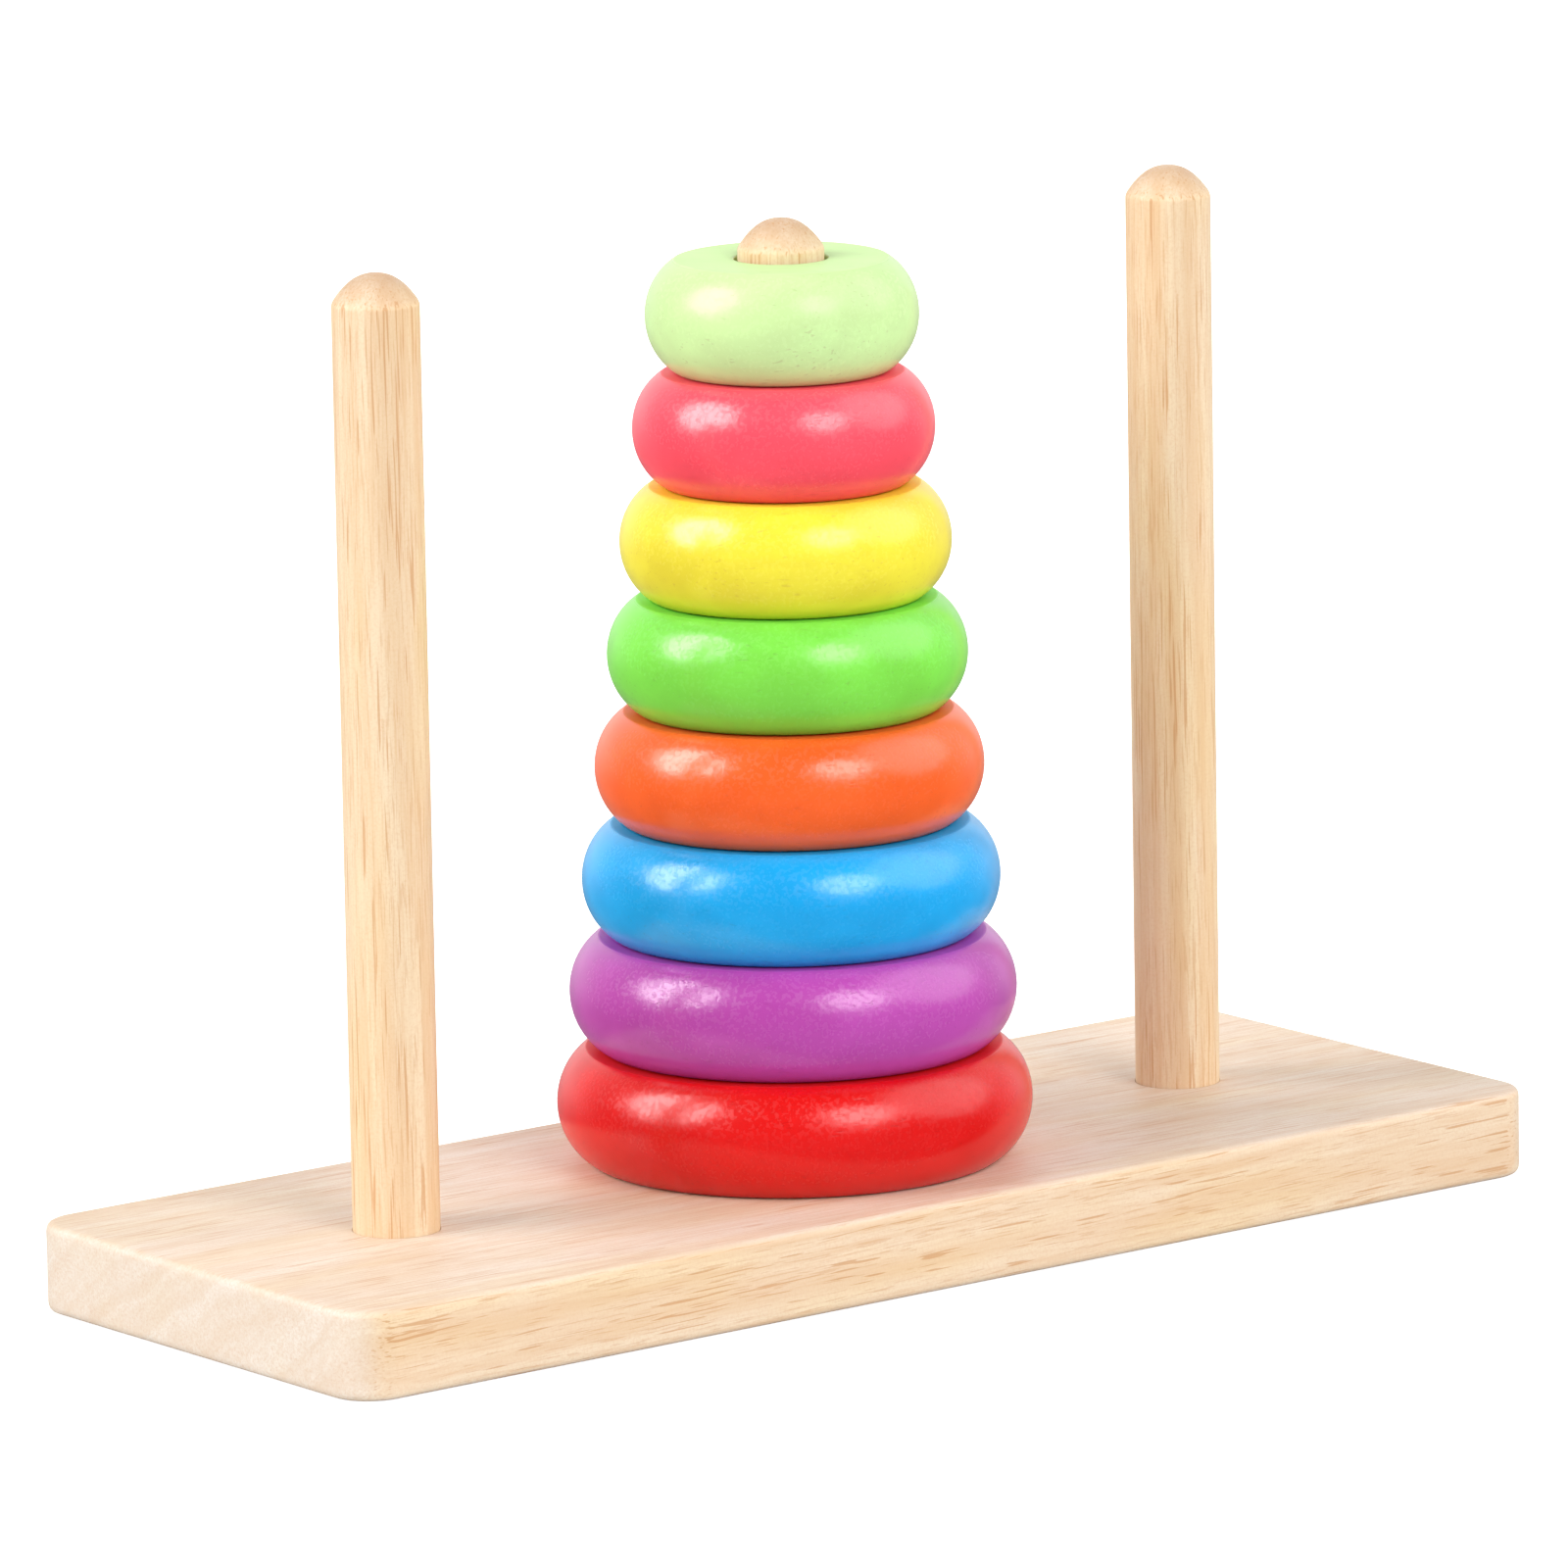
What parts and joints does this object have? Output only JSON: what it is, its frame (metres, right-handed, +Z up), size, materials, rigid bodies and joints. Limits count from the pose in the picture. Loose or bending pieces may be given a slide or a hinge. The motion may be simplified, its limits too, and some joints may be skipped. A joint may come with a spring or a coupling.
{
  "type": "tower of hanoi puzzle",
  "caption": "Wooden board with a row of upright dome-topped pegs and a stack of painted wooden rings in graded sizes, which lift off and move from peg to peg.",
  "frame": {"origin": "centre of the board's underside, which rests on the table", "axes": "+X along the board's length towards the right peg, +Y across the board to the back, +Z up the pegs"},
  "size_m": [0.219, 0.081, 0.152],
  "materials": {
    "board_wood": "pale rubberwood, short brown pores along the length, thin satin clear coat",
    "peg_wood": "pale hardwood dowel, grain along the peg, thin satin clear coat",
    "paint_red": "satin red toy paint on turned wood, grain faintly telegraphing through",
    "paint_purple": "satin purple toy paint on turned wood, grain faintly telegraphing through",
    "paint_blue": "satin blue toy paint on turned wood, grain faintly telegraphing through",
    "paint_orange": "satin orange toy paint on turned wood, grain faintly telegraphing through",
    "paint_green": "satin green toy paint on turned wood, grain faintly telegraphing through",
    "paint_yellow": "satin yellow toy paint on turned wood, grain faintly telegraphing through",
    "paint_pink": "satin coral pink toy paint on turned wood, grain faintly telegraphing through",
    "paint_light_green": "satin light green toy paint on turned wood, grain faintly telegraphing through"
  },
  "bodies": {
    "base": {"base_board": "board_wood", "left_peg": "peg_wood", "centre_peg": "peg_wood", "right_peg": "peg_wood"},
    "ring_red": {"ring_red": "paint_red"},
    "ring_purple": {"ring_purple": "paint_purple"},
    "ring_blue": {"ring_blue": "paint_blue"},
    "ring_orange": {"ring_orange": "paint_orange"},
    "ring_green": {"ring_green": "paint_green"},
    "ring_yellow": {"ring_yellow": "paint_yellow"},
    "ring_pink": {"ring_pink": "paint_pink"},
    "ring_light_green": {"ring_light_green": "paint_light_green"}
  },
  "joints": [
    {"name": "lift_red", "type": "slide", "parent": "base", "child": "ring_red", "axis": [0, 0, 1], "range_m": [0, 0.144]},
    {"name": "lift_purple", "type": "slide", "parent": "ring_red", "child": "ring_purple", "axis": [0, 0, 1], "range_m": [0, 0.127]},
    {"name": "lift_blue", "type": "slide", "parent": "ring_purple", "child": "ring_blue", "axis": [0, 0, 1], "range_m": [0, 0.111]},
    {"name": "lift_orange", "type": "slide", "parent": "ring_blue", "child": "ring_orange", "axis": [0, 0, 1], "range_m": [0, 0.094]},
    {"name": "lift_green", "type": "slide", "parent": "ring_orange", "child": "ring_green", "axis": [0, 0, 1], "range_m": [0, 0.077]},
    {"name": "lift_yellow", "type": "slide", "parent": "ring_green", "child": "ring_yellow", "axis": [0, 0, 1], "range_m": [0, 0.061]},
    {"name": "lift_pink", "type": "slide", "parent": "ring_yellow", "child": "ring_pink", "axis": [0, 0, 1], "range_m": [0, 0.044]},
    {"name": "lift_light_green", "type": "slide", "parent": "ring_pink", "child": "ring_light_green", "axis": [0, 0, 1], "range_m": [0, 0.027]}
  ]
}
